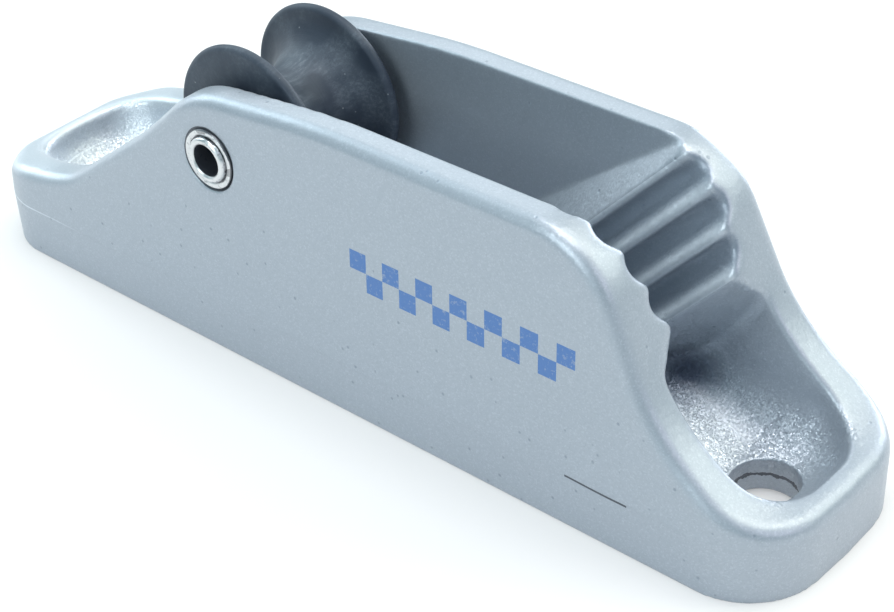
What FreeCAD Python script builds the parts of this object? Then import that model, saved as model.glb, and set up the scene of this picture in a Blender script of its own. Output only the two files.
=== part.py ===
import FreeCAD, Part
import math
import os
import Sketcher
from FreeCAD import Vector

# A rope cleat with a roller. One casting has a screw dish at each end, two walls with a rope channel
# between them and a toothed V jaw at the exit. A tubular rivet through both walls carries the roller.
#
# X runs along the cleat towards the exit, Y across it, Z up from the mounting face.
# The origin is the middle of the mounting face. Lengths are in millimetres, angles in degrees.
# An inset is a distance inwards from the nearer end of the body.

SIZES = [
    # casting, outside
    ("body_length", 82.0, "overall length"),
    ("body_width", 19.2, "width at the parting line, the widest place"),
    ("corner_radius", 6.2, "corner of the footprint"),
    ("end_bow", 0.4, "how far the middle of each end stands out"),
    ("end_bow_radius", 40.0, "roundness of the bowed end"),
    ("parting_height", 4.6, "height of the parting line"),
    ("upper_draft", 2.75, "draft of the walls above the parting line"),
    ("lower_draft", 1.0, "draft of the base below the parting line"),
    ("crown_height", 24.0, "top of the walls"),
    ("entry_rim_height", 6.7, "top of the rim at the entry end"),
    ("exit_rim_height", 6.0, "top of the rim at the exit end"),
    ("top_edge_radius", 1.2, "rounding of the outer top edge"),
    # casting, side profile
    ("entry_foot_inset", 10.0, "where the entry slope starts to rise"),
    ("entry_foot_height", 9.2, "height of that place"),
    ("entry_foot_radius", 14.0, "hollow there"),
    ("entry_shoulder_inset", 27.8, "top of the entry slope"),
    ("entry_shoulder_height", 22.6, "height of that place"),
    ("entry_shoulder_radius", 12.0, "rounding there"),
    ("crown_start_inset", 41.0, "where the long crown becomes level, from the entry end"),
    ("crown_blend_radius", 60.0, "rounding there"),
    ("exit_shoulder_inset", 16.0, "end of the level crown"),
    ("exit_shoulder_radius", 7.5, "rounding there"),
    ("exit_foot_inset", 10.3, "bottom of the steep exit slope"),
    ("exit_foot_height", 11.3, "height of that place"),
    ("exit_foot_radius", 16.0, "hollow there"),
    ("exit_toe_inset", 3.6, "where the exit slope runs into the rim"),
    ("exit_toe_height", 6.4, "height of that place"),
    ("exit_toe_radius", 8.0, "hollow there"),
    # rope channel and screw dishes
    ("channel_width", 12.3, "width between the walls at the crown"),
    ("channel_draft", 0.8, "draft of the channel walls"),
    ("channel_floor", 5.0, "height of the channel floor"),
    ("dish_floor", 3.0, "height of the floor round the screws"),
    ("dish_end_wall", 1.6, "thickness of each end wall, measured at the crown"),
    ("dish_corner_radius", 5.0, "plan corner of the dishes"),
    ("dish_flat_length", 10.0, "level dish floor, from the body's end"),
    ("dish_ramp_length", 7.0, "slope from the dish floor to the channel floor"),
    ("dish_ramp_radius", 8.0, "rounding of that slope"),
    ("cove_radius", 4.2, "hollow corner between floor and walls"),
    # toothed jaws
    ("tooth_count", 4, "teeth on each jaw"),
    ("tooth_pitch", 4.02, "distance between crests along the cleat"),
    ("first_crest_inset", 17.4, "first crest, at crown height"),
    ("crest_height", 0.95, "how far the crests stand out from the channel wall, at crown height"),
    ("crest_rise", 46.5, "angle of the crests above the mounting face"),
    ("jaw_angle", 13.0, "lean of each jaw, half of the V"),
    ("tooth_depth", 1.0, "depth of the teeth"),
    ("tooth_face", 0.8, "run of a tooth's steep face along the cleat"),
    ("valley_length", 1.45, "run of the valley between two teeth"),
    ("jaw_end_angle", 41.0, "angle of the jaws' end face, seen from above"),
    ("crest_radius", 0.25, "rounding of the crests"),
    ("valley_radius", 0.35, "rounding of the valleys"),
    ("lead_in_angle", 30.4, "angle of the lead-in ramp, seen from above"),
    ("jaw_root_depth", 0.65, "how deep the jaws root in the walls, at the crown"),
    ("jaw_foot_depth", 1.0, "how deep they root in the channel floor"),
    # screws
    ("screw_inset", 7.0, "middle of each screw hole"),
    ("screw_hole", 5.2, "diameter of the screw holes"),
    # cored recess under the base
    ("recess_inset", 19.0, "each end of the recess in the underside"),
    ("recess_side", 4.1, "width of the mounting face left beside the recess"),
    ("recess_depth", 2.0, "depth of the recess"),
    ("recess_draft", 5.0, "draft of its sides"),
    ("recess_corner", 3.0, "corner of the recess"),
    # axle and roller
    ("axle_inset", 29.9, "axle, from the entry end"),
    ("axle_height", 17.6, "axle, above the mounting face"),
    ("rivet_shank", 4.0, "outer diameter of the rivet's tube"),
    ("rivet_bore", 2.64, "bore of the rivet"),
    ("rivet_head", 5.0, "diameter of the rivet's heads"),
    ("rivet_flange", 0.28, "thickness of the head at its edge"),
    ("rivet_lip", 0.3, "how far the rolled lip stands above the flange"),
    ("lip_diameter", 3.9, "outer diameter of the rolled lip"),
    ("lip_chamfer", 0.2, "chamfer of the lip"),
    ("head_chamfer", 0.12, "chamfer of the head's edge"),
    ("rivet_wall_clearance", 0.04, "radial clearance of the rivet in the walls"),
    ("seat_diameter", 5.3, "flat seat of the rivet's heads"),
    ("seat_depth", 0.2, "depth of the seat at the axle"),
    ("roller_running_clearance", 0.06, "radial clearance between roller and rivet"),
    ("roller_diameter", 14.9, "diameter over the flanges"),
    ("roller_rim_land", 1.0, "width of each flange at its rim, beside the half-round rope groove"),
    ("roller_chamfer", 0.25, "chamfer of the rims and bosses"),
    ("roller_boss", 7.4, "diameter of the side bosses"),
    ("roller_boss_height", 1.06, "how far a boss stands out from its flange"),
    ("roller_side_clearance", 0.25, "gap between a boss and its wall"),
]

HALF_LENGTH = "size.body_length / 2"
AXLE_X = f"(size.axle_inset - {HALF_LENGTH})"
# How far the outside of the walls leans inwards at the axle, from the parting line.
WALL_LEAN_AT_AXLE = "(size.axle_height - size.parting_height) * tan(size.upper_draft)"
# Distance of the rivet's seats from the middle plane.
SEAT_PLANE = f"size.body_width / 2 - {WALL_LEAN_AT_AXLE} - size.seat_depth"
# How far the channel wall leans inwards at the axle, from its place at the crown.
CHANNEL_LEAN_AT_AXLE = "(size.crown_height - size.axle_height) * tan(size.channel_draft)"
TOLERANCE = 0.001
ALONG = 0.999  # cosine from which a direction counts as parallel to an axis
FULL_TURN = 360

doc = FreeCAD.newDocument("jam_cleat")
sheet = doc.addObject("Spreadsheet::Sheet", "size")
for row, (alias, value, note) in enumerate(SIZES, start=1):
    sheet.set(f"A{row}", note)
    sheet.set(f"B{row}", str(value))
    sheet.setAlias(f"B{row}", alias)
doc.recompute()


def number(expression):
    """The present value of an expression on the sheet."""
    return float(sheet.evalExpression(expression))


def new_body(label):
    body = doc.addObject("PartDesign::Body", label)
    body.Label = label
    return body


def origin_item(body, role):
    return next(item for item in body.Origin.OriginFeatures if item.Role == role)


def new_sketch(body, role, label, offset=None):
    """A sketch on one of the body's origin planes, raised along its normal by an expression."""
    sketch = body.newObject("Sketcher::SketchObject", label)
    sketch.AttachmentSupport = [(origin_item(body, role), "")]
    sketch.MapMode = "FlatFace"
    if offset:
        sketch.setExpression("AttachmentOffset.Base.z", offset)
    return sketch


def pin(sketch, geometry, end, x, y):
    """Hold a point of the sketch at two expressions."""
    for kind, expression in (("DistanceX", x), ("DistanceY", y)):
        constraint = sketch.addConstraint(
            Sketcher.Constraint(kind, -1, 1, geometry, end, number(expression))
        )
        sketch.setExpression(f"Constraints[{constraint}]", expression)


def add_outline(sketch, corners):
    """A closed loop of straight sides. Each corner is (x, y) or (x, y, radius), all expressions."""
    points = [Vector(number(corner[0]), number(corner[1]), 0) for corner in corners]
    sides = []
    rounds = []
    for index, corner in enumerate(corners):
        here = points[index]
        back = (points[index - 1] - here).normalize()
        ahead = (points[(index + 1) % len(points)] - here).normalize()
        if len(corner) == 2:
            rounds.append((here, here, None, 0))
            continue
        radius = number(corner[2])
        half = back.getAngle(ahead) / 2
        reach = radius / math.tan(half)
        middle = (back + ahead).normalize()
        centre = here + middle * (radius / math.sin(half))
        turn = back.cross(ahead).z
        rounds.append((here + back * reach, here + ahead * reach, centre, turn))
    for index in range(len(corners)):
        start = rounds[index][1]
        end = rounds[(index + 1) % len(corners)][0]
        sides.append(sketch.addGeometry(Part.LineSegment(start, end)))
    for index, corner in enumerate(corners):
        x, y = corner[0], corner[1]
        before, after = sides[index - 1], sides[index]
        arrive, leave, centre, turn = rounds[index]
        if centre is None:
            sketch.addConstraint(Sketcher.Constraint("Coincident", before, 2, after, 1))
            pin(sketch, after, 1, x, y)
            continue
        first, last = (leave, arrive) if turn > 0 else (arrive, leave)
        angles = [math.atan2(p.y - centre.y, p.x - centre.x) for p in (first, last)]
        circle = Part.Circle(centre, Vector(0, 0, 1), number(corner[2]))
        arc = sketch.addGeometry(Part.ArcOfCircle(circle, angles[0], angles[1]))
        arc_ends = (2, 1) if turn > 0 else (1, 2)
        sketch.addConstraint(Sketcher.Constraint("Tangent", before, 2, arc, arc_ends[0]))
        sketch.addConstraint(Sketcher.Constraint("Tangent", after, 1, arc, arc_ends[1]))
        constraint = sketch.addConstraint(Sketcher.Constraint("Radius", arc, number(corner[2])))
        sketch.setExpression(f"Constraints[{constraint}]", corner[2])
        apex = sketch.addGeometry(Part.Point(Vector(number(x), number(y), 0)), True)
        pin(sketch, apex, 1, x, y)
        sketch.addConstraint(Sketcher.Constraint("PointOnObject", apex, 1, before))
        sketch.addConstraint(Sketcher.Constraint("PointOnObject", apex, 1, after))


def add_circle(sketch, x, y, diameter):
    centre = Vector(number(x), number(y), 0)
    circle = Part.Circle(centre, Vector(0, 0, 1), number(diameter) / 2)
    geometry = sketch.addGeometry(circle)
    pin(sketch, geometry, 3, x, y)
    constraint = sketch.addConstraint(Sketcher.Constraint("Diameter", geometry, number(diameter)))
    sketch.setExpression(f"Constraints[{constraint}]", diameter)


def new_pad(body, label, sketch, length, draft=None, downwards=False):
    pad = body.newObject("PartDesign::Pad", label)
    pad.Profile = sketch
    pad.Reversed = downwards
    pad.setExpression("Length", length)
    if draft:
        pad.setExpression("TaperAngle", draft)
    return pad


def new_cut(body, label, sketch, depth, draft=None):
    """A pocket along its sketch's normal."""
    cut = body.newObject("PartDesign::Pocket", label)
    cut.Profile = sketch
    cut.Reversed = True
    cut.setExpression("Length", depth)
    if draft:
        cut.setExpression("TaperAngle", draft)
    return cut


def new_through_cut(body, label, sketch):
    """A pocket that runs right through the body, to both sides of its sketch."""
    cut = body.newObject("PartDesign::Pocket", label)
    cut.Profile = sketch
    cut.SideType = "Symmetric"
    cut.setExpression("Length", "size.body_length * 2")
    return cut


def mirror_across(body, label, features=None):
    """Repeat features, or else the whole body so far, across the lengthwise middle plane."""
    mirror = body.newObject("PartDesign::Mirrored", label)
    if features:
        mirror.Originals = features
    else:
        mirror.TransformMode = "Whole shape"
    mirror.MirrorPlane = (origin_item(body, "XZ_Plane"), [""])
    body.Tip = mirror
    return mirror


def round_edges(body, label, base, edges, radius):
    fillet = body.newObject("PartDesign::Fillet", label)
    fillet.Base = (base, edges)
    fillet.setExpression("Radius", radius)
    return fillet


def edge_names(feature, test):
    """Names of the edges that pass a test of the edge, its middle point and its direction there."""
    names = []
    for index, edge in enumerate(feature.Shape.Edges, start=1):
        half = (edge.FirstParameter + edge.LastParameter) / 2
        if test(edge, edge.valueAt(half), edge.tangentAt(half)):
            names.append(f"Edge{index}")
    return names


def rim_edges(feature, outline, half_width):
    """Edges round the faces that follow the side profile, no further from the middle than half_width."""
    tops = []
    for face in feature.Shape.Faces:
        first_u, last_u, first_v, last_v = face.ParameterRange
        point = face.valueAt((first_u + last_u) / 2, (first_v + last_v) / 2)
        if outline.Shape.distToShape(Part.Vertex(point.x, 0, point.z))[0] < TOLERANCE:
            tops.append(face)

    def bounds_one_top(edge, middle, direction):
        touching = [face for face in tops if any(edge.isSame(other) for other in face.Edges)]
        return len(touching) == 1 and abs(middle.y) < half_width

    return edge_names(feature, bounds_one_top)


def cut_above_walls(body):
    """Trim a body to the side profile that the walls and the jaws share."""
    sketch = new_sketch(body, "XZ_Plane", f"{body.Label}_profile")
    clear = "size.crown_height * 2"
    far_left = "-size.body_length"
    far_right = "size.body_length"

    def entry(place):
        return f"size.entry_{place}_inset - {HALF_LENGTH}"

    def leave(place):
        return f"{HALF_LENGTH} - size.exit_{place}_inset"

    add_outline(
        sketch,
        [
            (far_left, "size.entry_rim_height"),
            (f"-{HALF_LENGTH}", "size.entry_rim_height"),
            (entry("foot"), "size.entry_foot_height", "size.entry_foot_radius"),
            (entry("shoulder"), "size.entry_shoulder_height", "size.entry_shoulder_radius"),
            (f"size.crown_start_inset - {HALF_LENGTH}", "size.crown_height", "size.crown_blend_radius"),
            (leave("shoulder"), "size.crown_height", "size.exit_shoulder_radius"),
            (leave("foot"), "size.exit_foot_height", "size.exit_foot_radius"),
            (leave("toe"), "size.exit_toe_height", "size.exit_toe_radius"),
            (HALF_LENGTH, "size.exit_rim_height"),
            (far_right, "size.exit_rim_height"),
            (far_right, clear),
            (far_left, clear),
        ],
    )
    return new_through_cut(body, f"{body.Label}_walls_top", sketch), sketch


def make_channel_core():
    """The space between the walls: rope channel and both dishes, as the foundry's core."""
    core = new_body("channel_core")
    plan = new_sketch(core, "XY_Plane", "channel_plan", "size.crown_height")
    reach = f"{HALF_LENGTH} - size.dish_end_wall"
    side = "size.channel_width / 2"
    corner = "size.dish_corner_radius"
    add_outline(
        plan,
        [
            (f"-({reach})", f"-{side}", corner),
            (reach, f"-{side}", corner),
            (reach, side, corner),
            (f"-({reach})", side, corner),
        ],
    )
    depth = "size.crown_height - size.dish_floor"
    new_pad(core, "channel_depth", plan, depth, "-size.channel_draft", downwards=True)
    new_pad(core, "channel_clearance", plan, "size.top_edge_radius")
    floor = new_sketch(core, "XZ_Plane", "channel_floor_profile")
    foot = f"{HALF_LENGTH} - size.dish_flat_length"
    top = f"{foot} - size.dish_ramp_length"
    end = "size.body_length"
    add_outline(
        floor,
        [
            (f"-({foot})", "size.dish_floor"),
            (f"-({top})", "size.channel_floor", "size.dish_ramp_radius"),
            (top, "size.channel_floor", "size.dish_ramp_radius"),
            (foot, "size.dish_floor"),
            (end, "size.dish_floor"),
            (end, "-size.channel_floor"),
            (f"-{end}", "-size.channel_floor"),
            (f"-{end}", "size.dish_floor"),
        ],
    )
    cut = new_through_cut(core, "channel_floor_cut", floor)
    doc.recompute()
    highest = number("size.channel_floor") + TOLERANCE
    straight_sides = number(reach) - number(corner)
    edges = edge_names(
        cut,
        lambda edge, middle, direction: middle.z < highest
        and (abs(direction.y) < ALONG or abs(middle.x) > straight_sides),
    )
    round_edges(core, "channel_cove", cut, edges, "size.cove_radius")
    return core


def make_jaws():
    """The two toothed walls of the V. Each is one saw-tooth section, run up along its leaning crests."""
    jaws = new_body("jaws")
    foot = "(size.channel_floor - size.jaw_foot_depth)"
    section = new_sketch(jaws, "XY_Plane", "tooth_section", foot)
    drop = f"(size.crown_height - {foot})"
    crest_x = f"({HALF_LENGTH} - size.first_crest_inset - {drop} / tan(size.crest_rise))"
    crest_y = f"(size.channel_width / 2 - size.crest_height - {drop} * tan(size.jaw_angle))"
    root = "size.channel_width / 2 + size.jaw_root_depth"
    outer = f"({root} + size.tooth_depth)"
    corners = [(f"{crest_x} - ({outer} - {crest_y}) / tan(size.lead_in_angle)", outer)]
    teeth = int(number("size.tooth_count"))
    for tooth in range(teeth):
        x = f"{crest_x} + {tooth} * size.tooth_pitch"
        corners.append((x, crest_y))
        if tooth < teeth - 1:
            valley_y = f"{crest_y} + size.tooth_depth"
            corners.append((f"{x} + size.tooth_face", valley_y))
            corners.append((f"{x} + size.tooth_face + size.valley_length", valley_y))
    last_run = f"({outer} - {crest_y}) / tan(size.jaw_end_angle)"
    corners.append((f"{crest_x} + (size.tooth_count - 1) * size.tooth_pitch + {last_run}", outer))
    add_outline(section, corners)
    teeth_pad = new_pad(jaws, "teeth", section, f"{drop} + size.top_edge_radius")
    teeth_pad.UseCustomVector = True
    teeth_pad.AlongSketchNormal = True
    teeth_pad.setExpression("Direction.x", "1 / tan(size.crest_rise)")
    teeth_pad.setExpression("Direction.y", "tan(size.jaw_angle)")
    teeth_pad.setExpression("Direction.z", "1")
    doc.recompute()

    def runs_up_at(depth):
        """A test for the long edges that lie at a depth behind the crests."""
        foot_y = number(f"{crest_y} + {depth}")
        lean = number("tan(size.jaw_angle)")
        foot_z = number(foot)
        return lambda edge, middle, direction: (
            abs(direction.z) > TOLERANCE
            and abs(middle.y - (middle.z - foot_z) * lean - foot_y) < TOLERANCE
        )

    crests = edge_names(teeth_pad, runs_up_at("0"))
    round_edges(jaws, "rounded_crests", teeth_pad, crests, "size.crest_radius")
    doc.recompute()
    valleys = edge_names(jaws.Tip, runs_up_at("size.tooth_depth"))
    round_edges(jaws, "rounded_valleys", jaws.Tip, valleys, "size.valley_radius")
    beyond = new_sketch(jaws, "YZ_Plane", "beyond_roots")
    far = "size.body_width * 2"
    add_outline(
        beyond,
        [
            (root, "-size.crown_height"),
            (far, "-size.crown_height"),
            (far, "size.crown_height * 2"),
            (root, "size.crown_height * 2"),
        ],
    )
    new_through_cut(jaws, "root_trim", beyond)
    mirror_across(jaws, "second_jaw")
    cut_above_walls(jaws)
    return jaws


def make_cleat_body(core, jaws):
    """The casting: channel and jaws, screw holes, axle bore with its seats, recess under the base."""
    cleat = new_body("cleat_body")
    footprint = new_sketch(cleat, "XY_Plane", "footprint", "size.parting_height")
    corner_x = f"({HALF_LENGTH} - size.end_bow)"
    side = "size.body_width / 2"
    corner = "size.corner_radius"
    bow_angle = "atan(2 * size.end_bow / size.body_width)"
    bow_tip = f"({HALF_LENGTH} + size.end_bow_radius * (1 / cos({bow_angle}) - 1))"
    add_outline(
        footprint,
        [
            (f"-{corner_x}", f"-{side}", corner),
            (corner_x, f"-{side}", corner),
            (bow_tip, "0", "size.end_bow_radius"),
            (corner_x, side, corner),
            (f"-{corner_x}", side, corner),
            (f"-{bow_tip}", "0", "size.end_bow_radius"),
        ],
    )
    rise = "size.crown_height - size.parting_height + size.top_edge_radius"
    new_pad(cleat, "walls", footprint, rise, "-size.upper_draft")
    new_pad(cleat, "base", footprint, "size.parting_height", "-size.lower_draft", downwards=True)
    profile, outline = cut_above_walls(cleat)
    doc.recompute()
    edges = rim_edges(profile, outline, number(side))
    round_edges(cleat, "outer_edges", profile, edges, "size.top_edge_radius")

    channel = cleat.newObject("PartDesign::Boolean", "channel")
    channel.setObjects([core])
    channel.Type = "Cut"
    teeth = cleat.newObject("PartDesign::Boolean", "toothed_jaws")
    teeth.setObjects([jaws])
    teeth.Type = "Fuse"

    screws = new_sketch(cleat, "XY_Plane", "screw_places")
    for sign in ("", "-"):
        add_circle(screws, f"{sign}({HALF_LENGTH} - size.screw_inset)", "0", "size.screw_hole")
    new_through_cut(cleat, "screw_holes", screws)

    axle = new_sketch(cleat, "XZ_Plane", "axle_place")
    bore = "size.rivet_shank + 2 * size.rivet_wall_clearance"
    add_circle(axle, AXLE_X, "size.axle_height", bore)
    new_through_cut(cleat, "axle_bore", axle)
    seat = new_sketch(cleat, "XZ_Plane", "seat_place", SEAT_PLANE)
    add_circle(seat, AXLE_X, "size.axle_height", "size.seat_diameter")
    seat_cut = new_cut(cleat, "rivet_seat", seat, "size.body_width")
    mirror_across(cleat, "other_rivet_seat", [seat_cut])

    recess = new_sketch(cleat, "XY_Plane", "recess_outline")
    x = f"({HALF_LENGTH} - size.recess_inset)"
    y = "(size.body_width / 2 - size.recess_side)"
    add_outline(
        recess,
        [
            (f"-{x}", f"-{y}", "size.recess_corner"),
            (x, f"-{y}", "size.recess_corner"),
            (x, y, "size.recess_corner"),
            (f"-{x}", y, "size.recess_corner"),
        ],
    )
    new_cut(cleat, "underside_recess", recess, "size.recess_depth", "-size.recess_draft")
    return cleat


def place_on_axle(body):
    body.setExpression("Placement.Base.x", AXLE_X)
    body.setExpression("Placement.Base.z", "size.axle_height")


def turn_about_axle(body, kind, label, sketch):
    """Revolve a sketch about the body's Y axis, as a Revolution or as a Groove."""
    turned = body.newObject(f"PartDesign::{kind}", label)
    turned.Profile = sketch
    turned.ReferenceAxis = (origin_item(body, "Y_Axis"), [""])
    turned.Angle = FULL_TURN
    return turned


def make_roller():
    """A turned blank with a boss on each side, and the half-round rope groove cut into its rim."""
    roller = new_body("roller")
    blank = new_sketch(roller, "XY_Plane", "roller_blank")
    bore = "size.rivet_shank / 2 + size.roller_running_clearance"
    boss = f"(size.channel_width / 2 - {CHANNEL_LEAN_AT_AXLE} - size.roller_side_clearance)"
    flange = f"({boss} - size.roller_boss_height)"
    corners = []
    for sign in ("-", ""):
        half = [
            (bore, f"{sign}{boss}"),
            ("size.roller_boss / 2", f"{sign}{boss}"),
            ("size.roller_boss / 2", f"{sign}{flange}"),
            ("size.roller_diameter / 2", f"{sign}{flange}"),
        ]
        corners += half if sign else half[::-1]
    add_outline(blank, corners)
    turn_about_axle(roller, "Revolution", "blank", blank)
    groove = new_sketch(roller, "XY_Plane", "groove_circle")
    add_circle(groove, "size.roller_diameter / 2", "0", f"2 * ({flange} - size.roller_rim_land)")
    grooved = turn_about_axle(roller, "Groove", "rope_groove", groove)
    doc.recompute()
    radii = [number("size.roller_diameter / 2"), number("size.roller_boss / 2")]
    bottom = number(flange) + TOLERANCE

    def stands_out(edge, middle, direction):
        distance = math.hypot(middle.x, middle.z)
        on_rim = abs(distance - radii[0]) < TOLERANCE
        on_boss = abs(distance - radii[1]) < TOLERANCE and abs(middle.y) > bottom
        return edge.Closed and (on_rim or on_boss)

    chamfer = roller.newObject("PartDesign::Chamfer", "broken_edges")
    chamfer.Base = (grooved, edge_names(grooved, stands_out))
    chamfer.setExpression("Size", "size.roller_chamfer")
    place_on_axle(roller)
    return roller


def make_axle_rivet():
    """A tube with a rolled head at each end, each head flat on its seat in the wall."""
    rivet = new_body("axle_rivet")
    section = new_sketch(rivet, "XY_Plane", "rivet_section")
    seat = f"({SEAT_PLANE})"
    flange = f"({seat} + size.rivet_flange)"
    lip = f"({flange} + size.rivet_lip)"
    corners = []
    for sign in ("-", ""):
        half = [
            ("size.rivet_bore / 2", f"{sign}({lip} - size.lip_chamfer)"),
            ("size.rivet_bore / 2 + size.lip_chamfer", f"{sign}{lip}"),
            ("size.lip_diameter / 2 - size.lip_chamfer", f"{sign}{lip}"),
            ("size.lip_diameter / 2", f"{sign}({lip} - size.lip_chamfer)"),
            ("size.lip_diameter / 2", f"{sign}{flange}"),
            ("size.rivet_head / 2 - size.head_chamfer", f"{sign}{flange}"),
            ("size.rivet_head / 2", f"{sign}({flange} - size.head_chamfer)"),
            ("size.rivet_head / 2", f"{sign}{seat}"),
            ("size.rivet_shank / 2", f"{sign}{seat}"),
        ]
        corners += half if sign else half[::-1]
    add_outline(section, corners)
    turn_about_axle(rivet, "Revolution", "rivet_turned", section)
    place_on_axle(rivet)
    return rivet


def check_document(parts):
    """Stop if any object failed, or if a part is not one valid solid."""
    for item in doc.Objects:
        if "Invalid" in item.State or "Error" in item.State:
            raise RuntimeError(f"{item.Label}: {item.State}")
    for part in parts:
        shape = part.Shape
        if shape.isNull() or not shape.isValid() or len(shape.Solids) != 1:
            raise RuntimeError(f"{part.Label} is not one valid solid")
        print(part.Label, round(shape.Volume, 2), shape.BoundBox)


core = make_channel_core()
jaws = make_jaws()
parts = [make_cleat_body(core, jaws), make_roller(), make_axle_rivet()]
doc.recompute()
check_document(parts)
os.makedirs("parts", exist_ok=True)
for part in parts:
    part.Shape.exportStep(f"parts/{part.Label}.step")
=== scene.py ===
import math

import bmesh
import bpy
from mathutils import Matrix, Vector


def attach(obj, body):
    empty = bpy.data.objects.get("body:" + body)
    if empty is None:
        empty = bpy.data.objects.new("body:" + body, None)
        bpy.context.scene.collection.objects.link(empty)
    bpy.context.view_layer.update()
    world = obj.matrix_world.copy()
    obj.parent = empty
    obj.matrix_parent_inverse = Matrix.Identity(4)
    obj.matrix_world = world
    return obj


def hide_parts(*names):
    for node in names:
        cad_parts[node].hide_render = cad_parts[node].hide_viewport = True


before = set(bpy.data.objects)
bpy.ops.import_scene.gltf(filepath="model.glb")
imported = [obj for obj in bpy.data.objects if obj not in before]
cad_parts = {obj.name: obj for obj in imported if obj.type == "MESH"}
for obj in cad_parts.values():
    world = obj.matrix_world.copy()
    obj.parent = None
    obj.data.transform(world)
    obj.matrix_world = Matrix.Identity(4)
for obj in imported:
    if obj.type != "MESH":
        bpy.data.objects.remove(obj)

# Jam cleat with a roller, in metres. +X is the exit end, Z is up, the origin is on the mounting face.

axle = Vector((-0.0111, 0, 0.0176))
screwFromMiddle = 0.034
partingHeight = 0.00462
sharpFrom = math.radians(32)   # edges of turned pieces stay sharp above this angle
samePlace = 1e-6               # points nearer than this are one
sectionEnds = 1e-7             # the same for the two ends of a turned section
afterRounding = 2e-6           # and for its rounded corners and the turn's two ends
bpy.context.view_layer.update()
print("frame loaded")


# nodes of the materials
class Wire:
    # a socket that can be used in sums and comparisons
    def __init__(self, paint, socket):
        self.paint = paint
        self.socket = socket

    def sum(self, operation, other=None):
        inputs = {0: self} if other is None else {0: self, 1: other}
        return self.paint.node("ShaderNodeMath", {"operation": operation}, inputs)

    def __add__(self, other):
        return self.sum("ADD", other)

    def __mul__(self, other):
        return self.sum("MULTIPLY", other)

    def __sub__(self, other):
        return self.sum("SUBTRACT", other)

    def __rsub__(self, other):
        return self.paint.node("ShaderNodeMath", {"operation": "SUBTRACT"}, {0: other, 1: self})

    def __truediv__(self, other):
        return self.sum("DIVIDE", other)

    def __gt__(self, other):
        return self.sum("GREATER_THAN", other)

    def __lt__(self, other):
        return self.sum("LESS_THAN", other)

    __radd__ = __add__
    __rmul__ = __mul__


class Paint:
    # a material and the nodes in it
    def __init__(self, name, constants):
        self.material = bpy.data.materials.new(name)
        self.material.use_nodes = True
        self.tree = self.material.node_tree
        self.shader = self.tree.nodes["Principled BSDF"]
        for socket, value in constants.items():
            self.shader.inputs[socket].default_value = value
        self.place = self.node("ShaderNodeTexCoord", {}, {}, "Object")

    def distance(self, *legs):
        # how far a place is from another, from the legs along the axes
        total = legs[0] * legs[0]
        for leg in legs[1:]:
            total = total + leg * leg
        return total.sum("SQRT")

    def node(self, kind, settings, inputs, output=0):
        made = self.tree.nodes.new(kind)
        for key, value in settings.items():
            if key == "stops":
                ramp = made.color_ramp
                while len(ramp.elements) < len(value):
                    ramp.elements.new(0.5)
                for stop, (position, shade) in zip(ramp.elements, value):
                    stop.position = position
                    stop.color = (shade, shade, shade, 1) if isinstance(shade, float) else shade
            else:
                setattr(made, key, value)
        for key, value in inputs.items():
            if isinstance(value, Wire):
                self.tree.links.new(value.socket, made.inputs[key])
            else:
                made.inputs[key].default_value = value
        return Wire(self, made.outputs[output])

    def feed(self, socket, value):
        self.tree.links.new(value.socket, self.shader.inputs[socket])

    def axes(self, vector=None):
        split = self.node("ShaderNodeSeparateXYZ", {}, {0: vector or self.place})
        return [Wire(self, out) for out in split.socket.node.outputs]

    def noise(self, scale, detail=2.0, roughness=0.5, vector=None):
        inputs = {"Vector": vector or self.place, "Scale": scale, "Detail": detail, "Roughness": roughness}
        return self.node("ShaderNodeTexNoise", {}, inputs)

    def cells(self, scale, output):
        inputs = {"Vector": self.place, "Scale": scale}
        return self.node("ShaderNodeTexVoronoi", {}, inputs, output)

    def ramp(self, value, stops):
        return self.node("ShaderNodeValToRGB", {"stops": stops}, {0: value})

    def blend(self, mask, first, second):
        inputs = {0: mask, 6: first, 7: second}
        return self.node("ShaderNodeMix", {"data_type": "RGBA"}, inputs, 2)

    def vectors(self, operation, first, second=None, scale=None):
        inputs = {0: first}
        if second is not None:
            inputs[1] = second
        if scale is not None:
            inputs["Scale"] = scale
        return self.node("ShaderNodeVectorMath", {"operation": operation}, inputs)

    def bump(self, height, distance, strength=1.0, normal=None):
        inputs = {"Height": height, "Distance": distance, "Strength": strength}
        if normal is not None:
            inputs["Normal"] = normal
        return self.node("ShaderNodeBump", {}, inputs)


# modelling
def deselectAll():
    if bpy.context.object and bpy.context.object.mode == "EDIT":
        bpy.ops.object.mode_set(mode="OBJECT")
    bpy.ops.object.select_all(action="DESELECT")


def makeActive(piece):
    deselectAll()
    piece.select_set(True)
    bpy.context.view_layer.objects.active = piece


def applyModifier(piece, kind, **settings):
    makeActive(piece)
    modifier = piece.modifiers.new(kind.lower(), kind)
    for key, value in settings.items():
        setattr(modifier, key, value)
    bpy.ops.object.modifier_apply(modifier=modifier.name)


def finishPiece(piece, name, body, material, node):
    piece.name = name
    piece.data.name = name
    piece.data.materials.clear()
    piece.data.materials.append(material)
    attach(piece, body)
    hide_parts(node)


def copyOfNode(name):
    # a merged copy of a CAD node, standing free of its parent
    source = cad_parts[name]
    piece = source.copy()
    piece.data = source.data.copy()
    piece.parent = None
    bpy.context.collection.objects.link(piece)
    makeActive(piece)
    bpy.ops.object.mode_set(mode="EDIT")
    bpy.ops.mesh.select_all(action="SELECT")
    bpy.ops.mesh.remove_doubles(threshold=samePlace)
    bpy.ops.mesh.normals_make_consistent(inside=False)
    bpy.ops.object.mode_set(mode="OBJECT")
    return piece


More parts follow.
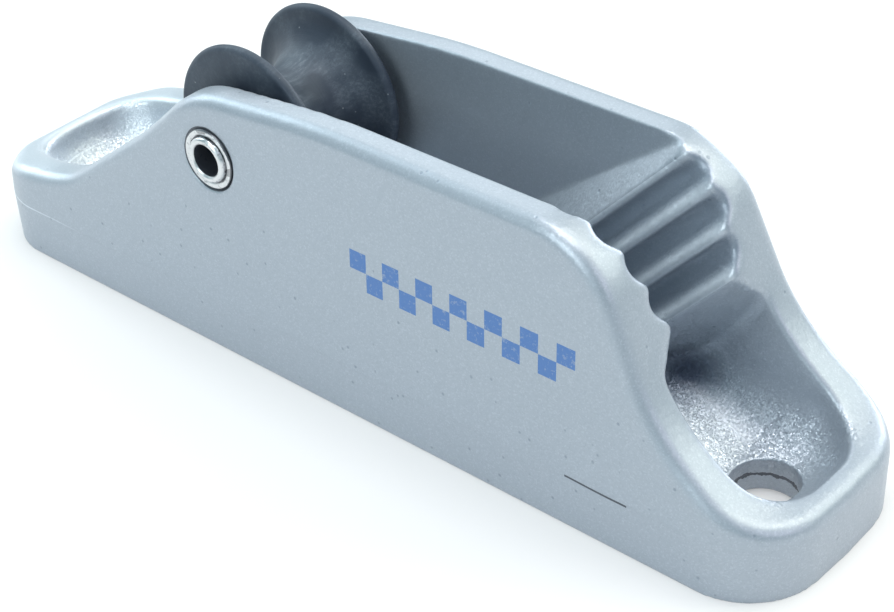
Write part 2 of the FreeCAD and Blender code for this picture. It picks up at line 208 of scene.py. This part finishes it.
def turnedPiece(corners, rounds, steps):
    # a closed half section of (radius, y) corners, with some corners rounded, spun about the axle
    deselectAll()
    bpy.ops.mesh.primitive_plane_add(size=0.001, location=axle)
    piece = bpy.context.object
    bpy.ops.object.transform_apply(location=True, rotation=True, scale=True)
    bpy.ops.object.mode_set(mode="EDIT")
    mesh = bmesh.from_edit_mesh(piece.data)
    for vertex in list(mesh.verts)[1:]:
        mesh.verts.remove(vertex)
    mesh.verts.ensure_lookup_table()
    first = mesh.verts[0]
    first.co = axle + Vector((corners[0][0], corners[0][1], 0))
    first.select = True
    bmesh.update_edit_mesh(piece.data)
    last = corners[0]
    for radius, y in corners[1:] + corners[:1]:
        step = (radius - last[0], y - last[1], 0)
        bpy.ops.mesh.extrude_region_move(TRANSFORM_OT_translate={"value": step})
        last = (radius, y)
    bpy.ops.mesh.select_all(action="SELECT")
    bpy.ops.mesh.remove_doubles(threshold=sectionEnds)
    for size, segments, chosen in rounds:
        bpy.ops.mesh.select_mode(type="VERT")
        bpy.ops.mesh.select_all(action="DESELECT")
        mesh = bmesh.from_edit_mesh(piece.data)
        places = [axle + Vector((corners[i][0], corners[i][1], 0)) for i in chosen]
        for vertex in mesh.verts:
            if any((vertex.co - place).length < samePlace for place in places):
                vertex.select = True
        bmesh.update_edit_mesh(piece.data)
        bpy.ops.mesh.bevel(offset=size, segments=segments, affect="VERTICES", clamp_overlap=True)
    bpy.ops.mesh.select_all(action="SELECT")
    bpy.ops.mesh.remove_doubles(threshold=afterRounding)
    bpy.ops.mesh.select_all(action="SELECT")
    bpy.ops.mesh.spin(steps=steps, angle=2 * math.pi, center=axle, axis=(0, 1, 0))
    bpy.ops.mesh.select_all(action="SELECT")
    bpy.ops.mesh.remove_doubles(threshold=afterRounding)
    bpy.ops.mesh.normals_make_consistent(inside=False)
    bpy.ops.object.mode_set(mode="OBJECT")
    bpy.ops.object.shade_smooth_by_angle(angle=sharpFrom)
    return piece


# casting
casting = {
    "voxel": 0.00015,          # grid of the softened copy
    "rounds": 2,               # the grid is made anew for each round, so that it doesn't fold
    "softness": 2,             # passes in each round that round every cast edge a little
    "rimPasses": 110,          # passes in each round for the entry dish and the walls' inner edges
    "lastSoftness": 3,
    "triangles": 185000,
    "silver": (0.385, 0.43, 0.49, 1),
    "silverPale": (0.42, 0.465, 0.525, 1),
    # flake colour, also used for the painted highlights on the crests, in the dishes and along the entry
    # parting line
    "flakeAndHighlight": (0.80, 0.86, 0.92, 1),
    "shadow": (0.17, 0.21, 0.27, 1),
    "deepShadow": (0.06, 0.075, 0.12, 1),
    "flash": (0.03, 0.035, 0.05, 1),
    # the dark ring half way down the exit hole
    "holeRingDark": (0.05, 0.055, 0.07, 1),
    # painted shade for the gap round the rivet's heads
    "creviceShade": (0.045, 0.05, 0.065, 1),
    "flakesPerMetre": 9500,    # cells of the flake pattern
    "blue": (0.042, 0.155, 0.43, 1),
    "printStart": 0.0035,      # where the checked strip starts along the wall
    "printSquare": 0.0016,
    "printCount": 13.0,
    "printHeight": 0.0122,
}

# crests of the jaws, as their solid has them
jaws = {
    "wallTop": 0.024,
    "firstCrest": 0.0236,      # x of the first crest at the top of the walls
    "crestSide": 0.0052,       # its distance from the middle there
    "rise": math.tan(math.radians(46.5)),
    "lean": math.tan(math.radians(13)),
    "row": 0.01206,            # from the first crest to the last
    "endFace": 0.0046,         # from the last crest to the middle of the end face
}

# the entry slopes of the walls stand lower than those of their solid, the near one most
slopes = {
    "crownEnd": -0.0115,       # where the drop starts, seen from the crown
    "fullFrom": -0.0205,
    "fullTo": -0.0268,
    "landEnd": -0.0372,
    "farDrop": 0.0004,
    "nearExtra": 0.00075,      # how much more the near wall drops
    "sides": (-0.0060, 0.0060),
    "foot": 0.0046,
    "fullAbove": 0.0060,       # height over the foot from which the whole drop counts
    "rivetSeat": (0.0032, 0.0055),
}

# where each softening is full, and where it ends
fades = {
    "betweenWalls": (0.0068, 0.0084),
    "betweenEnds": (0.0384, 0.0402),
    "entryRim": (0.0110, 0.0190),      # heights
    "exitRim": (0.0125, 0.0250),
    "rimDepth": (0.0013, 0.0024),      # below the top of the wall
    "toothDepth": (0.0006, 0.0028),
    "jawFoot": (0.0053, 0.0065),
    "endFace": (0.0016, 0.0040),
    "channelFloor": (0.0034, 0.0050),
    "bowlRim": (0.0002, 0.0014),
    "bowlMouth": (-0.030, -0.024),
    "bowlFloor": (0.0033, 0.0042),
    "screwHole": (0.0028, 0.0031),
    "screwHoleTop": (0.0023, 0.0029),
}

# how strong each one is, against 1 in the entry dish
strength = {
    "exitRim": 0.35,
    "crown": 0.05,
    "toothEnds": 0.5,
    "endFace": 0.35,
    "teeth": 0.09,
    "screwHole": 0.25,
}

# the rim of the entry dish is a rectangle with round corners
bowl = {
    "side": 0.0064,
    "cornerX": -0.0346,
    "cornerY": 0.0013,
    "cornerRadius": 0.0052,
}


def fade(value, full, none):
    # 1 up to full, 0 from none, even between them
    return min(1.0, max(0.0, (none - value) / (none - full)))


def eased(share):
    return share * share * (3 - 2 * share)


def loweredSlopes(piece):
    s = slopes
    for vertex in piece.data.vertices:
        x, y, z = vertex.co
        if x > s["crownEnd"] or z < s["foot"]:
            continue
        falling = eased(fade(x, s["fullFrom"], s["crownEnd"]))
        landing = eased(1 - fade(x, s["landEnd"], s["fullTo"]))
        across = s["farDrop"] + s["nearExtra"] * fade(y, *s["sides"])
        fromRivet = 1 - fade(math.hypot(x - axle.x, z - axle.z), *s["rivetSeat"])
        height = min(1.0, (z - s["foot"]) / s["fullAbove"])
        vertex.co.z = z - falling * landing * across * fromRivet * height


def rimSoftness(x, y, z, depth):
    # how much the inner edges of the walls are rounded: much at the slopes, hardly at the crown
    inside = fade(abs(y), *fades["betweenWalls"]) * fade(abs(x), *fades["betweenEnds"])
    height = fade(z, *fades["entryRim"]) if x < 0 else strength["exitRim"] * fade(z, *fades["exitRim"])
    onCrown = -0.026 < x < 0.0195
    crown = strength["crown"] if onCrown else 0.0
    return inside * fade(depth, *fades["rimDepth"]) * max(height, crown)


def entrySoftness(x, y, z):
    # the entry dish is one shallow bowl, from its rim down to the screw hole
    if x > fades["bowlMouth"][1] or abs(y) > bowl["side"]:
        return 0.0
    pastCornerX = max(bowl["cornerX"] - x, 0.0)
    pastCornerY = max(abs(y) - bowl["cornerY"], 0.0)
    fromRim = bowl["cornerRadius"] - math.hypot(pastCornerX, pastCornerY)
    inBowl = fade(-fromRim, *fades["bowlRim"]) * fade(x, *fades["bowlMouth"])
    return inBowl * (1 - fade(z, *fades["bowlFloor"]))


def jawSoftness(x, y, z, depth):
    # the upper ends of the teeth and the end face of the jaws run softly into the wall
    firstCrest = jaws["firstCrest"] - (jaws["wallTop"] - z) / jaws["rise"]
    lastCrest = firstCrest + jaws["row"]
    inside = fade(abs(y), *fades["betweenWalls"]) * (1 - fade(z, *fades["jawFoot"]))
    atEnds = firstCrest - 0.001 < x < lastCrest + 0.002
    onTeeth = firstCrest - 0.003 < x < lastCrest + 0.002
    ends = fade(depth, *fades["toothDepth"]) * strength["toothEnds"] if atEnds else 0.0
    endFace = fade(abs(x - lastCrest - jaws["endFace"]), *fades["endFace"]) * strength["endFace"]
    teeth = strength["teeth"] if onTeeth else 0.0
    return inside * max(ends, endFace, teeth)


def holeSoftness(x, y, z):
    # the walls of the screw holes are rounder than their solid's facets
    fromScrew = math.hypot(abs(x) - screwFromMiddle, y)
    return strength["screwHole"] * fade(fromScrew, *fades["screwHole"]) * fade(z, *fades["screwHoleTop"])


def weighVertices(piece):
    # a vertex group that says how much each place is softened
    stepsPerMetre = 5000
    tops = {}                  # height of the walls at each step along the cleat
    for vertex in piece.data.vertices:
        step = round(vertex.co.x * stepsPerMetre)
        tops[step] = max(tops.get(step, 0), vertex.co.z)
    levels = {}
    for vertex in piece.data.vertices:
        x, y, z = vertex.co
        if abs(y) > fades["betweenWalls"][1]:
            continue
        step = math.floor(x * stepsPerMetre)
        share = x * stepsPerMetre - step
        below = tops.get(step, 0)
        above = tops.get(step + 1, below)
        depth = below * (1 - share) + above * share - z
        rim = max(rimSoftness(x, y, z, depth), jawSoftness(x, y, z, depth))
        rim *= 1 - fade(z, *fades["channelFloor"])
        weight = max(rim, entrySoftness(x, y, z), holeSoftness(x, y, z))
        levels.setdefault(round(weight * 100), []).append(vertex.index)
    group = piece.vertex_groups.new(name="rims")
    for level, places in levels.items():
        if level > 0:
            group.add(places, level / 100, "REPLACE")


def evenGrid(piece):
    # a fresh even mesh, shaded by its own shape and not by the solid's stored normals
    makeActive(piece)
    piece.data.remesh_voxel_size = casting["voxel"]
    bpy.ops.object.voxel_remesh()
    bpy.ops.mesh.customdata_custom_splitnormals_clear()
    for name in ("sharp_edge", "sharp_face", "custom_normal"):
        if name in piece.data.attributes:
            piece.data.attributes.remove(piece.data.attributes[name])


def softenedCasting():
    piece = copyOfNode("cleat_body")
    for turn in range(casting["rounds"]):
        evenGrid(piece)
        if turn == 0:
            loweredSlopes(piece)
        applyModifier(piece, "SMOOTH", factor=0.5, iterations=casting["softness"])
        weighVertices(piece)
        applyModifier(piece, "SMOOTH", factor=0.5, iterations=casting["rimPasses"], vertex_group="rims")
        piece.vertex_groups.clear()
    evenGrid(piece)
    applyModifier(piece, "SMOOTH", factor=0.5, iterations=casting["lastSoftness"])
    ratio = casting["triangles"] / (2 * len(piece.data.polygons))
    if ratio < 1:
        applyModifier(piece, "DECIMATE", ratio=ratio)
    for polygon in piece.data.polygons:
        polygon.use_smooth = True
    return piece


def castPaint():
    paint = Paint("silverFlakePaint", {"IOR": 1.5, "Coat Roughness": 0.25, "Coat IOR": 1.5})
    x, y, z = paint.axes()
    side = y.sum("ABSOLUTE")
    sideCentimetres = side * 100.0
    entryward = x * -20.0      # 1 at 50 mm from the middle, so that a ramp can hold it
    cloud = paint.noise(260, 3)
    fine = paint.noise(2600, 2)
    flakes = paint.cells(casting["flakesPerMetre"], "Color")
    flakeNumber = paint.axes(flakes)[0]
    bright = paint.ramp(flakeNumber, [(0.72, 0.0), (1.0, 1.0)])
    dark = paint.ramp(flakeNumber, [(0.0, 1.0), (0.3, 0.0)])
    base = paint.blend(cloud * 0.5, casting["silver"], casting["silverPale"])
    base = paint.blend(bright * 0.12, base, casting["flakeAndHighlight"])
    base = paint.blend(dark * 0.12, base, casting["shadow"])

    # small dark pits, few and far between
    pitFar = paint.cells(760, "Distance")
    pitChosen = paint.axes(paint.cells(760, "Color"))[1] > 0.72
    pits = paint.ramp(pitFar, [(0.07, 1.0), (0.13, 0.0)]) * pitChosen
    base = paint.blend(pits * 0.45, base, casting["shadow"])

    # painted shade between the teeth and under the jaws, and a painted highlight on the crests
    shape = paint.node("ShaderNodeNewGeometry", {}, {}, "Normal")
    facing = paint.axes(shape)
    belowTop = jaws["wallTop"] - z
    behindCrest = (side - (jaws["crestSide"] - belowTop * jaws["lean"])) * 1000.0
    fromFirst = x - jaws["firstCrest"] + belowTop / jaws["rise"]
    onTeeth = (fromFirst > -0.0003) * (fromFirst < jaws["row"] + 0.00024) * (side < 0.0080)
    inward = paint.ramp(facing[1].sum("ABSOLUTE"), [(0.30, 0.0), (0.55, 1.0)])
    valleyShade = paint.ramp(behindCrest, [(0.25, 0.0), (0.80, 1.0)]) * onTeeth * inward
    crest = paint.ramp(behindCrest, [(0.22, 1.0), (0.60, 0.0)]) * onTeeth
    fromFoot = paint.distance(x - 0.0242, side - 0.0046, (z - 0.0056) * 1.4)
    shade = paint.ramp(fromFoot * 100.0, [(0.08, 1.0), (0.36, 0.0)])
    base = paint.blend(valleyShade * 0.62, base, casting["shadow"])
    base = paint.blend(crest * 0.55, base, casting["flakeAndHighlight"])
    base = paint.blend(shade * 0.95, base, casting["deepShadow"])

    # painted light in the dishes: all over the entry dish and on the up-facing ramp before the jaws, both
    # flecked by the flakes, and on the up-facing land at the entry end
    sparkle = bright * 0.3 + 0.66
    upward = paint.ramp(facing[2], [(0.30, 0.0), (0.70, 1.0)])
    inBowl = paint.ramp(entryward, [(0.42, 0.0), (0.50, 1.0)])
    inBowl = inBowl * paint.ramp(sideCentimetres, [(0.54, 1.0), (0.68, 0.0)])
    entryBowl = inBowl * paint.ramp(entryward, [(0.745, 1.0), (0.775, 0.0)]) * sparkle
    entryLand = paint.ramp(entryward, [(0.56, 0.0), (0.70, 1.0)]) * upward * 0.45
    fromRamp = paint.distance(x - 0.0275, y, z - 0.0040)
    exitRamp = paint.ramp(fromRamp * 100.0, [(0.16, 1.0), (0.50, 0.0)]) * upward * sparkle
    dishLight = entryBowl.sum("MAXIMUM", entryLand).sum("MAXIMUM", exitRamp)
    base = paint.blend(dishLight, base, casting["flakeAndHighlight"])

    # checked strip printed on the near wall
    along = (x - casting["printStart"]) / casting["printSquare"]
    up = (z - casting["printHeight"]) / casting["printSquare"]
    inStrip = (along > 0.0) * (along < casting["printCount"]) * (up > 0.0) * (up < 2.0) * (y < -0.0072)
    column = along.sum("FLOOR").sum("MODULO", 2.0)
    row = up.sum("FLOOR").sum("MODULO", 2.0)
    square = (column - row).sum("ABSOLUTE")
    worn = paint.ramp(paint.noise(2600, 4, 0.7), [(0.32, 0.45), (0.44, 1.0)])
    printed = inStrip * square * worn
    base = paint.blend(printed * 0.92, base, casting["blue"])

    # the parting line: a dark hairline of flash near the exit, and round the entry end a painted highlight
    # along it
    wander = (paint.noise(180, 2) - 0.5) * 0.0009
    fromParting = z - partingHeight
    line = (fromParting + wander * 0.4).sum("ABSOLUTE") < 0.00009
    line = line * (x > 0.0236) * (x < 0.0290) * (y < -0.008)
    base = paint.blend(line * 0.85, base, casting["flash"])
    entryLine = (fromParting + wander * 0.25).sum("ABSOLUTE") < 0.00007
    entryLine = entryLine * paint.ramp(entryward, [(0.55, 0.0), (0.72, 1.0)])
    base = paint.blend(entryLine * 0.6, base, casting["flakeAndHighlight"])

    # a dark ring with a groove half way down the exit hole
    fromScrew = paint.distance(x - screwFromMiddle, y)
    ragged = (paint.noise(900, 3, 0.6) - 0.5) * 0.0011
    ring = (fromScrew < 0.00285) * ((z - 0.0016 + ragged).sum("ABSOLUTE") < 0.00017)
    base = paint.blend(ring * 0.85, base, casting["holeRingDark"])

    # painted shade in the gap round the rivet's heads
    fromAxle = paint.distance(x - axle.x, z - axle.z)
    gap = (fromAxle > 0.00243) * (fromAxle < 0.00268) * (side > 0.0083)
    base = paint.blend(gap * 0.85, base, casting["creviceShade"])
    paint.feed("Base Color", base)

    paint.feed("Metallic", 0.58 - printed * 0.5)
    paint.feed("Roughness", 0.40 + cloud * 0.08 - bright * 0.06 + printed * 0.05)
    paint.feed("Coat Weight", 0.16 + cloud * 0.1)

    # the flakes lie flat on the tumbled outside and stand up on the raw floors of the dishes
    fromMiddle = paint.ramp(sideCentimetres, [(0.50, 1.0), (0.62, 0.0)])
    fromEnds = paint.ramp(x.sum("ABSOLUTE") * 20.0, [(0.752, 1.0), (0.776, 0.0)])
    raw = fromMiddle * fromEnds * paint.ramp(z * 50.0, [(0.42, 1.0), (0.60, 0.0)])
    tilt = paint.vectors("SUBTRACT", flakes, (0.5, 0.5, 0.5))
    turned = paint.vectors("SCALE", tilt, None, raw * 0.36 + fromMiddle * 0.07 + 0.075)
    flakeNormal = paint.vectors("NORMALIZE", paint.vectors("ADD", turned, shape))
    peel = paint.noise(1150, 2) * 0.6 + fine * 0.4 - pits * 0.5
    rough = paint.bump(peel, 0.00006, 0.7, flakeNormal)
    onOutside = y * y + x * x * 0.05 > 0.00006
    parting = ((fromParting + wander * 0.25).sum("ABSOLUTE") < 0.00008) * onOutside
    grooves = (line + ring + parting * 0.35).sum("MINIMUM", 1.0) * -1.0
    paint.feed("Normal", paint.bump(grooves, 0.00012, 0.8, rough))
    return paint.material


castBody = softenedCasting()
finishPiece(castBody, "cast_body", "cleat", castPaint(), "cleat_body")
print("casting", len(castBody.data.polygons), "faces")


# roller
sheave = {
    "boreRadius": 0.00206,
    "bossRadius": 0.0037,
    "bossSide": 0.00581,
    "rimRadius": 0.00745,
    "rimSide": 0.00475,
    "rimRound": 0.00046,       # each rim is a half round
    "throat": 0.0037,
    "rimSteps": 10,
    "grooveSteps": 36,
    "black": (0.016, 0.024, 0.042, 1),
    "greyer": (0.032, 0.043, 0.062, 1),
    "dustAndSheen": (0.20, 0.235, 0.275, 1),
    "speck": (0.30, 0.33, 0.36, 1),
    "bossRound": 0.0003,
    "bossSegments": 3,
    "turns": 144,              # steps round the axle
}


def rollerSection():
    # bosses and flanges are straight, the rims half round, and the groove is half an ellipse
    s = sheave
    rimCentre = (s["rimRadius"] - s["rimRound"], s["rimSide"] - s["rimRound"])
    grooveSide = s["rimSide"] - 2 * s["rimRound"]
    half = [
        (s["boreRadius"], s["bossSide"]),
        (s["bossRadius"], s["bossSide"]),
        (s["bossRadius"], s["rimSide"]),
    ]
    for step in range(s["rimSteps"] + 1):
        angle = math.pi * step / s["rimSteps"]
        out = s["rimRound"] * math.sin(angle)
        half.append((rimCentre[0] + out, rimCentre[1] + s["rimRound"] * math.cos(angle)))
    for step in range(1, s["grooveSteps"] // 2):
        angle = math.pi * step / s["grooveSteps"]
        depth = (rimCentre[0] - s["throat"]) * math.sin(angle)
        half.append((rimCentre[0] - depth, grooveSide * math.cos(angle)))
    return half + [(s["throat"], 0.0)] + [(radius, -y) for radius, y in reversed(half)]


def rollerPlastic():
    settings = {"IOR": 1.46, "Specular IOR Level": 0.6, "Specular Tint": (0.80, 0.90, 1.0, 1)}
    paint = Paint("satinBlackPlastic", settings)
    y = paint.axes()[1]
    cloud = paint.noise(420, 3)
    grain = paint.noise(5200, 2)
    spin = paint.node("ShaderNodeMapping", {}, {"Vector": paint.place, "Scale": (1.0, 60.0, 1.0)})
    rings = paint.noise(120, 2, 0.5, spin)
    streaks = paint.node("ShaderNodeMapping", {}, {"Vector": paint.place, "Scale": (1.0, 0.16, 1.0)})
    scuff = paint.ramp(paint.noise(3600, 4, 0.75, streaks), [(0.46, 0.0), (0.74, 1.0)])
    patch = paint.ramp(paint.noise(330, 2), [(0.38, 0.10), (0.62, 1.0)])
    specks = paint.ramp(paint.cells(1700, "Distance"), [(0.08, 1.0), (0.16, 0.0)])
    specks = specks * (paint.axes(paint.cells(1700, "Color"))[0] > 0.90)
    # dust streaks in the groove over a painted sheen, which is strongest at the throat
    inGroove = paint.ramp(y.sum("ABSOLUTE") * 100.0, [(0.20, 1.0), (0.46, 0.45)])
    base = paint.blend(cloud * 0.7, sheave["black"], sheave["greyer"])
    base = paint.blend((scuff * 0.55 + 0.27) * patch * inGroove, base, sheave["dustAndSheen"])
    base = paint.blend(specks * 0.6, base, sheave["speck"])
    paint.feed("Base Color", base)
    paint.feed("Roughness", 0.44 + cloud * 0.12 + scuff * 0.16)
    height = grain * 0.5 + rings * 0.6 + specks * 0.4
    paint.feed("Normal", paint.bump(height, 0.00003, 0.6))
    return paint.material


rollerCorners = rollerSection()
bossEdges = (1, len(rollerCorners) - 2)
bossRounds = (sheave["bossRound"], sheave["bossSegments"], bossEdges)
roller = turnedPiece(rollerCorners, [bossRounds], sheave["turns"])
finishPiece(roller, "grooved_roller", "sheave", rollerPlastic(), "roller")
print("roller", len(roller.data.polygons), "faces")


# rivet
rivet = {
    "boreRadius": 0.00132,
    "shankRadius": 0.0020,
    "lipRadius": 0.00186,
    "grooveRadius": 0.00198,   # the groove between the rolled lip and the flange
    "crownRadius": 0.00215,
    "headRadius": 0.0025,
    "seat": 0.008776,
    "grooveFloor": 0.00896,
    "flange": 0.009056,
    "lip": 0.009356,
    "steel": (0.60, 0.62, 0.64, 1),
    "steelPale": (0.84, 0.85, 0.86, 1),
    "pitted": (0.20, 0.205, 0.22, 1),
    "rivetCreviceShade": (0.035, 0.04, 0.055, 1),
    "bore": (0.012, 0.016, 0.030, 1),
    "lipRounds": (0.00024, 6, (0, 1, 14, 15)),       # radius, segments, corners of the section
    "flangeRounds": (0.00012, 4, (4, 5, 10, 11)),
    "turns": 96,
}


def rivetSection():
    r = rivet
    half = [
        (r["boreRadius"], r["lip"]),
        (r["lipRadius"], r["lip"]),
        (r["lipRadius"] + 0.00005, r["grooveFloor"]),
        (r["grooveRadius"], r["grooveFloor"]),
        (r["crownRadius"], r["flange"]),
        (r["headRadius"], r["flange"] - 0.00004),
        (r["headRadius"], r["seat"]),
        (r["shankRadius"], r["seat"]),
    ]
    return half + [(radius, -y) for radius, y in reversed(half)]


def rivetSteel():
    paint = Paint("rolledSteel", {"IOR": 1.5})
    x, y, z = paint.axes()
    fromAxle = paint.distance(x - axle.x, z - axle.z)
    ringInputs = {"W": fromAxle * 9000.0, "Detail": 2.0}
    rings = paint.node("ShaderNodeTexNoise", {"noise_dimensions": "1D"}, ringInputs)
    cloud = paint.noise(900, 3)
    pits = paint.ramp(paint.noise(3000, 3), [(0.58, 0.0), (0.70, 1.0)])
    wander = (paint.noise(700, 3, 0.6) - 0.5) * 0.00022
    reach = fromAxle + wander
    # painted shade in the groove between the rolled lip and the flange and round the head's edge, also
    # darkening the nicks
    grooveShade = (reach > 0.00188) * (reach < 0.00203)
    headEdgeShade = reach > 0.00242
    nick = (paint.noise(560, 1) > 0.62) * (fromAxle > 0.00205)
    inside = fromAxle < 0.00134
    base = paint.blend(cloud, rivet["steel"], rivet["steelPale"])
    base = paint.blend(pits * 0.5, base, rivet["pitted"])
    creviceShade = (grooveShade + headEdgeShade + nick * 0.6).sum("MINIMUM", 1.0)
    base = paint.blend(creviceShade * 0.8, base, rivet["rivetCreviceShade"])
    # painted shade inside the bore, with less metal so it reflects little
    base = paint.blend(inside * 0.96, base, rivet["bore"])
    paint.feed("Base Color", base)
    paint.feed("Metallic", 1.0 - inside * 0.8)
    paint.feed("Roughness", 0.24 + cloud * 0.14 + pits * 0.2 + inside * 0.2)
    paint.feed("Normal", paint.bump(rings * 0.6 + cloud * 0.4 - nick * 0.8, 0.00002, 0.5))
    return paint.material


axleRivet = turnedPiece(rivetSection(), [rivet["lipRounds"], rivet["flangeRounds"]], rivet["turns"])
finishPiece(axleRivet, "tubular_rivet", "cleat", rivetSteel(), "axle_rivet")
print("rivet", len(axleRivet.data.polygons), "faces")


# floor, light and camera
studio = {
    "floorShade": 0.78,
    "glow": 0.35,              # how much of the floor is plain white to the camera and in reflections
    "sky": 0.38,
    "skyTint": (0.58, 0.90, 1.0, 1),
    "lampSide": 0.3,
    "lampReach": 0.6,
    "aim": Vector((0, 0, 0.01)),
    "lamps": [                 # name, height and heading in degrees, watts, tint
        ("lampAbove", 90, 0, 1.9, (1.0, 0.97, 0.97)),
        ("lampFront", 35, -90, 1.3, (0.94, 1.0, 1.0)),
        ("lampBackLow", 12, 90, 1.8, (0.93, 0.95, 1.0)),
        ("lampBackHigh", 62, 60, 0.9, (1.0, 0.94, 0.78)),
        ("lampExit", 35, 45, 0.8, (1.0, 1.0, 0.86)),
        ("lampEntry", 35, 180, 1.0, (0.84, 0.97, 1.0)),
        ("lampEntryBack", 35, 135, 0.5, (1.0, 1.0, 1.0)),
        ("lampEntryLow", 12, 180, 0.4, (1.0, 1.0, 1.0)),
        ("lampExitEnd", 35, 0, 0.4, (1.0, 0.85, 1.0)),
    ],
}


def whiteFloor():
    paint = Paint("whitePaper", {"Base Color": (studio["floorShade"],) * 3 + (1,), "Roughness": 0.9})
    rays = paint.tree.nodes.new("ShaderNodeLightPath")
    seen = Wire(paint, rays.outputs["Is Camera Ray"]) + Wire(paint, rays.outputs["Is Glossy Ray"])
    seen = seen + Wire(paint, rays.outputs["Is Transmission Ray"])
    grain = paint.noise(700, 2)
    paint.feed("Normal", paint.bump(grain, 0.00002, 0.3))
    glow = paint.tree.nodes.new("ShaderNodeEmission")
    glow.inputs["Strength"].default_value = 1.0
    mix = paint.tree.nodes.new("ShaderNodeMixShader")
    paint.tree.links.new((seen * studio["glow"]).socket, mix.inputs[0])
    paint.tree.links.new(paint.shader.outputs[0], mix.inputs[1])
    paint.tree.links.new(glow.outputs[0], mix.inputs[2])
    output = paint.tree.nodes["Material Output"]
    paint.tree.links.new(mix.outputs[0], output.inputs["Surface"])
    return paint.material


deselectAll()
bpy.ops.mesh.primitive_plane_add(size=3.0, location=(0, 0, 0))
floor = bpy.context.object
floor.name = "floor"
floor.data.materials.append(whiteFloor())


def whiteWorld():
    # the room lights the part a little blue, and the camera sees it plain white
    world = bpy.data.worlds.new("studioWhite")
    world.use_nodes = True
    tree = world.node_tree
    room = tree.nodes["Background"]
    room.inputs["Color"].default_value = studio["skyTint"]
    room.inputs["Strength"].default_value = studio["sky"]
    seen = tree.nodes.new("ShaderNodeBackground")
    seen.inputs["Color"].default_value = (1, 1, 1, 1)
    seen.inputs["Strength"].default_value = 1.0
    rays = tree.nodes.new("ShaderNodeLightPath")
    mix = tree.nodes.new("ShaderNodeMixShader")
    tree.links.new(rays.outputs["Is Camera Ray"], mix.inputs[0])
    tree.links.new(room.outputs[0], mix.inputs[1])
    tree.links.new(seen.outputs[0], mix.inputs[2])
    tree.links.new(mix.outputs[0], tree.nodes["World Output"].inputs["Surface"])
    bpy.context.scene.world = world


whiteWorld()


def areaLight(name, height, heading, power, tint):
    # a square lamp on a dome over the cleat, turned towards it
    data = bpy.data.lights.new(name, "AREA")
    data.shape = "RECTANGLE"
    data.size = data.size_y = studio["lampSide"]
    data.energy = power
    data.color = tint
    flat = Vector((math.cos(heading), math.sin(heading), 0)) * math.cos(height)
    place = (flat + Vector((0, 0, math.sin(height)))) * studio["lampReach"]
    lamp = bpy.data.objects.new(name, data)
    lamp.location = place
    lamp.rotation_mode = "QUATERNION"
    lamp.rotation_quaternion = (studio["aim"] - place).to_track_quat("-Z", "Y")
    bpy.context.collection.objects.link(lamp)


for name, height, heading, power, tint in studio["lamps"]:
    areaLight(name, math.radians(height), math.radians(heading), power, tint)

# the camera's place and axes were solved from the outline in the photo
camera = bpy.data.objects.new("camera", bpy.data.cameras.new("camera"))
bpy.context.collection.objects.link(camera)
right = Vector((0.75519, 0.65407, -0.04330))
up = Vector((-0.34841, 0.45648, 0.81868))
ahead = Vector((-0.55524, 0.60317, -0.57262))
turn = Matrix((right, up, -ahead)).transposed().to_4x4()
camera.matrix_world = Matrix.Translation((0.09238, -0.09549, 0.09627)) @ turn
camera.data.sensor_width = 36
focalPixels = 2034.8
pictureWidth = 894
camera.data.lens = focalPixels * camera.data.sensor_width / pictureWidth
camera.data.clip_start = 0.01
camera.data.clip_end = 10
bpy.context.scene.camera = camera
bpy.context.scene.view_settings.view_transform = "Standard"

print("scene ready")
